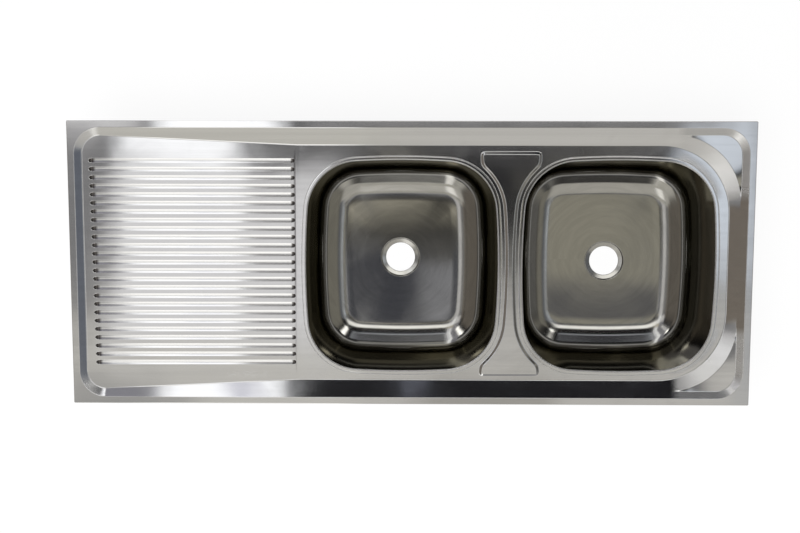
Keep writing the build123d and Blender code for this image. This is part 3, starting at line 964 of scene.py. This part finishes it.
def dried_group():
    """Dried drops = crests of a small noise in a soft ellipse, the unit circle of (vector - centre) / half."""
    tree, given, result = new_group("Dried marks", ["Vector", "Centre", "Half"], [], ["Mark"])
    away = vector_math(tree, "SUBTRACT", given["Vector"], given["Centre"])
    length = vector_math(tree, "LENGTH", vector_math(tree, "DIVIDE", away, given["Half"]))
    crest = remap(tree, noise(tree, given["Vector"], 620.0, 2.0, 0.5), 0.54, 0.68)
    tree.links.new(math(tree, "MULTIPLY", crest, remap(tree, length, 1.0, 0.1)), result["Mark"])
    return tree


grain_effect = grain_group()
smudge_effect = smudge_group()
wave_effect = wave_group()
dried_effect = dried_group()
print("groups", [g.name for g in bpy.data.node_groups])

# %% [markdown]
# ## Steel of the top and the bowls
# Satin stainless is a plain metal whose roughness does most of the work. On the top the grain runs along the
# sink. In the bowls it runs round their middle, as the press and the polishing wheel leave it, so the grain is
# read in the distance from the bowl's middle and the angle round it. The streaks move base colour by a few
# percent only, and the waves go to a Bump. Painted shade lies over that, dark reflections painted into the
# colour at the grooves' ends and on the bowl walls, and so do dull edges and corners and dried drops.

# %% Grain directions
mean_radius = 0.12


def straight_grain(tree, place):
    """Coordinates turned by a right angle, so that the grain runs along X."""
    return add_node(tree, "ShaderNodeMapping", {"Vector": place, "Rotation": (0, 0, np.pi / 2)}).outputs[0]


def round_grain(tree, place):
    """Coordinates (distance from the nearer bowl's middle, angle times a mean radius, height). The bowls mirror
    each other about the divider, so |x - divider| - spacing / 2 serves both."""
    axes = axes_of(tree, place)
    aside = math(tree, "ABSOLUTE", math(tree, "SUBTRACT", axes[0], float(divider_x)))
    x = math(tree, "SUBTRACT", aside, float(bowl_x["right"] - divider_x))
    y = math(tree, "SUBTRACT", axes[1], float(bowl_y))
    distance = vector_math(tree, "LENGTH", vector_of(tree, x, y))
    around = math(tree, "MULTIPLY", math(tree, "ARCTAN2", y, x), mean_radius)
    return vector_of(tree, distance, around, axes[2])


print("grain along the top, and round the bowls at a mean radius of", mean_radius)

# %% Satin stainless
grain_fineness = 700.0
small_waves = 0.01 * MM
drops = {"Centre": (-0.293, -0.198, deck_height), "Half": (0.060, 0.013, 1.0)}
drop_colour = (0.88, 0.87, 0.85, 1)
# colour of the painted shade at the grooves' ends
end_shade_colour = (0.03, 0.022, 0.017, 1)


def satin_steel(name, colour, roughness, grain_place, grain_length, along, streak, broad, brush, edge):
    """Brushed sheet: colour, base roughness, the grain's coordinates, its lines per metre along it and its
    direction, the share by which streaks change the colour, and the heights of waves and brush lines in metres.
    Brushing scatters light across the grain, so the tangent is the normal crossed with the grain. edge is the
    tint of light that the sheet throws back at a glancing angle."""
    material, tree, shader = new_material(name)
    place = object_place(tree)
    grain_inputs = {"Vector": grain_place(tree, place), "Across": grain_fineness, "Along": grain_length}
    grain = place_group(tree, grain_effect, grain_inputs)
    smudge = place_group(tree, smudge_effect, {"Vector": place, "Scale": 8.0, "From": 0.48, "To": 0.75})[0]
    wave = place_group(tree, wave_effect, {"Vector": place, "Broad": broad, "Small": small_waves})[0]
    mark = place_group(tree, dried_effect, {"Vector": place, **drops})[0]
    rub, wall_shade_and_dulling, painted_end_shade = [stored(tree, label) for label in ("rub", "wall_shade_and_dulling", "painted_end_shade")]
    streaks = remap(tree, grain["Streak"], 0.3, 0.7)
    base = mix_colour(tree, streaks, shade(colour, 1 - streak), shade(colour, 1 + streak))
    # colour layers: smudges, dried drops, painted shade on the bowl walls, painted shade at the grooves' ends
    for share, most, tint in ((smudge, 0.2, shade(colour, 0.82)), (mark, 0.35, drop_colour),
                              (wall_shade_and_dulling, 1.0, shade(colour, 0.5)), (painted_end_shade, 0.9, end_shade_colour)):
        base = mix_colour(tree, math(tree, "MULTIPLY", share, most), base, tint)
    rough = remap(tree, grain["Grain"], 0.25, 0.75, roughness * 0.95, roughness * 1.06)
    for share, most in ((smudge, 0.025), (mark, 0.2), (rub, 0.32), (wall_shade_and_dulling, 0.03)):
        rough = plus(tree, rough, share, most)
    normal = add_node(tree, "ShaderNodeNewGeometry").outputs["Normal"]
    feed(tree, shader, {
        "Base Color": base, "Roughness": rough, "Metallic": 1.0, "Anisotropic": 0.6, "Specular Tint": shade(edge),
        "Normal": raised(tree, plus(tree, wave, grain["Streak"], brush)),
        "Tangent": vector_math(tree, "CROSS_PRODUCT", normal, along)})
    return material


top_steel = satin_steel(
    "Satin top steel", (0.70, 0.69, 0.67), 0.075, straight_grain, grain_length=6.0, along=(1, 0, 0), streak=0.03,
    broad=0.7 * MM, brush=0.003 * MM, edge=(1, 1, 1))
# the bowls' steel: its darker colour is painted shade for the inside of the bowls, and its olive tint at a
# glancing angle is a painted reflection colour
shaded_bowl_steel = satin_steel(
    "Satin bowl steel with painted shade", (0.48, 0.468, 0.43), 0.06, round_grain, grain_length=70.0, along=(0, 0.5, 1), streak=0.05,
    broad=0.2 * MM, brush=0.002 * MM, edge=(0.34, 0.32, 0.25))
print("steels:", top_steel.name, "and", shaded_bowl_steel.name)

# %% Steel on the pieces
pressed_top.data.materials.append(top_steel)
for bowl in bowls:
    bowl.data.materials.append(shaded_bowl_steel)
    bowl.data.materials.append(top_steel)
    on_deck = vectors_of(bowl.data.polygons, "center")[:, 2] > deck_height - 1.2 * MM
    bowl.data.polygons.foreach_set("material_index", on_deck.astype(np.int32))
    print(bowl.name, "has", on_deck.sum(), "faces in the top's finish")

# %% [markdown]
# ## Small metal and soft finishes
# The hidden side shows other metals: spangled galvanised strip, bright zinc on the screws, blackened spring
# steel. The pads are bitumen with a pebbled face, and the seal is fine closed cell foam. The CAD pieces keep
# their shape, and a small bevel takes the hardness off their edges.

# %% Finishes of the small pieces
def plated_metal(name, colour, roughness, spangle, speckle):
    """Small metal: cells of slightly different grey, and fine speckle in the roughness."""
    material, tree, shader = new_material(name)
    place = object_place(tree)
    cells = add_node(tree, "ShaderNodeTexVoronoi", {"Vector": place, "Scale": spangle})
    grey = add_node(tree, "ShaderNodeSeparateColor", {"Color": cells.outputs["Color"]}).outputs[0]
    smudge = place_group(tree, smudge_effect, {"Vector": place, "Scale": speckle, "From": 0.45, "To": 0.7})[0]
    feed(tree, shader, {
        "Base Color": mix_colour(tree, grey, shade(colour, 0.82), shade(colour, 1.12)), "Metallic": 1.0,
        "Roughness": remap(tree, smudge, 0.0, 1.0, roughness * 0.8, roughness * 1.3)})
    return material


def soft_finish(name, colour, roughness, scale, depth):
    """Pebbled dull face: noise in colour and bump, at one scale."""
    material, tree, shader = new_material(name)
    pebbles = noise(tree, object_place(tree), scale, 4.0, 0.65)
    feed(tree, shader, {
        "Base Color": mix_colour(tree, pebbles, shade(colour, 0.7), shade(colour, 1.35)), "Roughness": roughness,
        "Normal": raised(tree, math(tree, "MULTIPLY", pebbles, depth))})
    return material


finishes = {
    "galvanised_steel": plated_metal("Galvanised strip", (0.60, 0.61, 0.62), 0.38, 150.0, 60.0),
    "zinc_plate": plated_metal("Bright zinc", (0.66, 0.66, 0.65), 0.26, 420.0, 200.0),
    "spring_steel": plated_metal("Blackened spring steel", (0.20, 0.19, 0.18), 0.42, 900.0, 400.0),
    "bare_steel": plated_metal("Bare stainless", (0.66, 0.655, 0.64), 0.3, 300.0, 120.0),
}
bitumen = soft_finish("Bitumen sheet", (0.075, 0.075, 0.08), 0.78, 420.0, 0.4 * MM)
foam = soft_finish("Closed cell foam", (0.16, 0.16, 0.165), 0.9, 1600.0, 0.2 * MM)
for pad in pads:
    pad.data.materials.append(bitumen)
seal.data.materials.append(foam)
print(len(finishes), "metals, bitumen and foam")

# %% Finishes on the CAD pieces
slot_of = {row["node"]: row["material_slot"] for row in frame["record"]["subparts"]}
kept_nodes = [name for name in nodes if not nodes[name].hide_render]
for name in kept_nodes:
    piece = nodes[name]
    piece.data.materials.clear()
    piece.data.materials.append(finishes[slot_of[name]])
    weld = piece.modifiers.new("weld", "WELD")
    weld.merge_threshold = 0.005 * MM
    soft_edge = piece.modifiers.new("edges", "BEVEL")
    soft_edge.width = 0.25 * MM
    soft_edge.segments = 2
    soft_edge.limit_method = "ANGLE"
    soft_edge.angle_limit = np.radians(35)
print(len(kept_nodes), "CAD nodes keep their shape and get a finish")

# %% [markdown]
# ## Floor
# The picture has a white surround. The floor is pale and takes the shadow, and to the camera and in reflections
# it also glows a little, so that it reads as white. Seen from below it is clear, so that the underside of the
# sink can be looked at too.

# %% Floor
floor_reach = 6.0
floor_glow = 0.88


def make_floor():
    """A square. Its shader mixes a dull pale face with a glow for rays that look at it, and is clear below."""
    mesh = bpy.data.meshes.new("floor")
    corners = [(x * floor_reach, y * floor_reach, 0) for x, y in ((-1, -1), (1, -1), (1, 1), (-1, 1))]
    mesh.from_pydata(corners, [], [(0, 1, 2, 3)])
    floor = bpy.data.objects.new("floor", mesh)
    scene.collection.objects.link(floor)
    material, tree, shader = new_material("Pale floor")
    feed(tree, shader, {"Base Color": (0.92, 0.92, 0.92, 1), "Roughness": 0.9})
    glow = add_node(tree, "ShaderNodeEmission", {"Color": (1, 1, 1, 1), "Strength": 1.0}).outputs[0]
    path = add_node(tree, "ShaderNodeLightPath").outputs
    seen = math(tree, "MAXIMUM", path["Is Camera Ray"], path["Is Glossy Ray"])
    seen = math(tree, "MAXIMUM", seen, path["Is Transmission Ray"])
    face = tree.nodes["Principled BSDF"].outputs[0]
    lit = {0: math(tree, "MULTIPLY", seen, floor_glow), 1: face, 2: glow}
    lit = add_node(tree, "ShaderNodeMixShader", lit).outputs[0]
    below = add_node(tree, "ShaderNodeNewGeometry").outputs["Backfacing"]
    clear = add_node(tree, "ShaderNodeBsdfTransparent").outputs[0]
    sided = add_node(tree, "ShaderNodeMixShader", {0: below, 1: lit, 2: clear}).outputs[0]
    tree.links.new(sided, tree.nodes["Material Output"].inputs["Surface"])
    mesh.materials.append(material)
    print("floor of", 2 * floor_reach, "m, glowing", floor_glow)


make_floor()

# %% [markdown]
# ## Surroundings
# A steel sink shows its surroundings more than itself. So the world is a dim room with soft pale cards in it,
# placed by the direction that sees them, and it grows lighter towards the horizon. Later cards lie over earlier
# ones. To the camera the world is plain white.

# %% Mask of a soft card
card_inputs = "X", "V", "Half X", "Half V", "Soft"


def card_group():
    """Mask of a soft card. With x and the slope v = y / z of the direction, it is a smooth step of |x - centre|
    times a smooth step of |v - centre|, and it is zero below the horizon."""
    tree, given, result = new_group("Soft card", ["Direction"], card_inputs, ["Mask"])
    axes = axes_of(tree, given["Direction"])
    slope = math(tree, "DIVIDE", axes[1], math(tree, "MAXIMUM", axes[2], 0.02))
    mask = remap(tree, axes[2], 0.02, 0.12)
    for value, label in ((axes[0], "X"), (slope, "V")):
        away = math(tree, "ABSOLUTE", math(tree, "SUBTRACT", value, given[label]))
        outer, inner = [math(tree, sign, given[f"Half {label}"], given["Soft"]) for sign in ("ADD", "SUBTRACT")]
        mask = math(tree, "MULTIPLY", mask, remap(tree, away, outer, inner))
    tree.links.new(mask, result["Mask"])
    return tree


card_effect = card_group()
print("a card is given by", card_inputs)

# %% Cards
room_colour = (0.014, 0.014, 0.016, 1)
wall_colour = (0.46, 0.46, 0.47, 1)
wall_heights = 0.60, 0.40
horizon_heights = 0.10, 0.03
cards = {
    "front ceiling": (0.0, -0.62, 0.50, 0.51, 0.07, (0.63, 0.62, 0.595)),
    "front shelf": (-0.012, -0.033, 0.030, 0.022, 0.013, (0.64, 0.61, 0.52)),
    "front shade": (-0.030, -0.12, 0.042, 0.04, 0.008, (0.06, 0.065, 0.085)),
    "front pane": (0.046, -0.127, 0.034, 0.035, 0.008, (0.42, 0.43, 0.48)),
    "right ceiling": (0.175, -0.066, 0.050, 0.054, 0.020, (0.43, 0.415, 0.36)),
    "right shade": (0.195, -0.145, 0.075, 0.030, 0.014, (0.17, 0.17, 0.18)),
    "left window": (-0.182, 10.0, 0.058, 10.0, 0.015, (1.5, 1.53, 1.6)),
    "window sill": (-0.18, 0.34, 0.075, 0.08, 0.03, (0.75, 0.68, 0.52)),
    "window bar": (-0.164, 0.60, 0.014, 0.30, 0.008, (0.80, 0.81, 0.92)),
    "far left wall": (-0.33, 1.62, 0.085, 1.42, 0.02, (0.30, 0.30, 0.34)),
    "far back wall": (-0.09, 1.95, 0.04, 1.15, 0.02, (0.50, 0.50, 0.52)),
    "front lamp": (-0.153, -10.3, 0.098, 10.0, 0.02, (1.5, 1.5, 1.5)),
    "left ceiling": (-0.153, -0.09, 0.098, 0.09, 0.016, (0.86, 0.86, 0.89)),
    "front gap": (-0.155, -0.23, 0.12, 0.055, 0.016, (0.66, 0.65, 0.62)),
    "front dim": (0.075, -0.245, 0.065, 0.030, 0.020, (0.41, 0.40, 0.37)),
    "front left dim": (-0.265, -0.245, 0.060, 0.030, 0.020, (0.36, 0.36, 0.36)),
    "front beam": (-0.155, -0.93, 0.14, 0.15, 0.05, (0.64, 0.63, 0.59)),
    "left wall": (-0.33, -0.05, 0.075, 0.09, 0.02, (0.25, 0.25, 0.26)),
    "left back": (-0.33, 0.14, 0.075, 0.105, 0.015, (0.92, 0.92, 0.95)),
    "warm wall": (-0.45, -0.05, 0.045, 0.20, 0.02, (0.20, 0.175, 0.15)),
    "right wall": (0.36, -0.06, 0.05, 0.20, 0.03, (0.42, 0.44, 0.48)),
    "blue wall": (0.46, -0.06, 0.06, 0.22, 0.03, (0.15, 0.165, 0.20)),
    "right window": (0.286, 0.00, 0.034, 0.11, 0.013, (0.80, 0.87, 0.98)),
    "back strip": (0.095, 0.20, 0.21, 0.10, 0.04, (1.7, 1.7, 1.7)),
    "back haze": (0.10, 0.06, 0.20, 0.03, 0.015, (0.30, 0.30, 0.31)),
    "back blue": (0.08, 0.76, 0.20, 0.045, 0.025, (0.60, 0.63, 0.72)),
    "back lamp": (0.0, 0.63, 0.012, 0.03, 0.010, (0.16, 0.17, 0.21)),
    "back low": (0.0, 3.6, 0.10, 2.4, 0.05, (0.34, 0.34, 0.33)),
    "left corner lamp": (-0.44, 0.62, 0.05, 0.12, 0.03, (3.0, 3.0, 3.0)),
    "right corner lamp": (0.44, 0.62, 0.05, 0.12, 0.03, (3.0, 3.0, 3.0)),
    "right low": (0.66, -0.2, 0.13, 0.7, 0.08, (0.28, 0.27, 0.24)),
    "left low": (-0.66, -0.2, 0.13, 0.7, 0.08, (0.20, 0.18, 0.16)),
}
print(len(cards), "cards")

# %% World
def make_world():
    """Room and walls, then one card after another, and white for the camera and along the horizon."""
    world = bpy.data.worlds.new("room")
    world.use_nodes = True
    tree = world.node_tree
    direction = add_node(tree, "ShaderNodeTexCoord").outputs["Generated"]
    height = axes_of(tree, direction)[2]
    colour = mix_colour(tree, remap(tree, height, *wall_heights), room_colour, wall_colour)
    for *numbers, card_colour in cards.values():
        inputs = {"Direction": direction, **dict(zip(card_inputs, numbers))}
        colour = mix_colour(tree, place_group(tree, card_effect, inputs)[0], colour, (*card_colour, 1))
    room = tree.nodes["Background"]
    tree.links.new(colour, room.inputs["Color"])
    white = add_node(tree, "ShaderNodeBackground", {"Color": (1, 1, 1, 1), "Strength": 1.0}).outputs[0]
    camera_ray = add_node(tree, "ShaderNodeLightPath").outputs["Is Camera Ray"]
    backdrop = math(tree, "MAXIMUM", camera_ray, remap(tree, height, *horizon_heights))
    mixed = add_node(tree, "ShaderNodeMixShader", {0: backdrop, 1: room.outputs[0], 2: white}).outputs[0]
    tree.links.new(mixed, tree.nodes["World Output"].inputs["Surface"])
    return world


scene.world = make_world()
print("world of", len(scene.world.node_tree.nodes), "nodes")

# %% [markdown]
# ## Lamps and camera
# Two large soft lamps light the floor and the dull pieces at a plain level. Metal doesn't show them, because it
# shows the cards. The camera stands nearly straight above the sink, as it did for the picture.

# %% Lamps
def make_lamp(name, place, aim, size, power):
    """A soft square lamp that looks from its place at its aim."""
    lamp = bpy.data.lights.new(name, "AREA")
    lamp.size = size
    lamp.energy = power
    holder = bpy.data.objects.new(name, lamp)
    holder.location = place
    holder.rotation_euler = (Vector(aim) - Vector(place)).to_track_quat("-Z", "Y").to_euler()
    holder.visible_glossy = False
    scene.collection.objects.link(holder)


make_lamp("overhead", (-0.6, -0.4, 2.6), (0, 0, 0), 2.2, 70)
make_lamp("low front", (0.8, -2.4, 1.1), (0, 0, 0.1), 1.4, 18)
print(len(bpy.data.lights), "lamps")

# %% Camera at the photograph's viewing angle
camera_data = bpy.data.cameras.new("camera")
camera_data.sensor_width = 36.0
camera_data.lens = 45.84
camera = bpy.data.objects.new("camera", camera_data)
camera.location = (-0.0009, 0.1704, rim_top + 1.7804)
camera.rotation_euler = np.radians((-5.584, 0.582, 0.112))
scene.collection.objects.link(camera)
scene.camera = camera
scene.view_settings.view_transform = "Standard"
print("camera at", [round(v, 4) for v in camera.location])
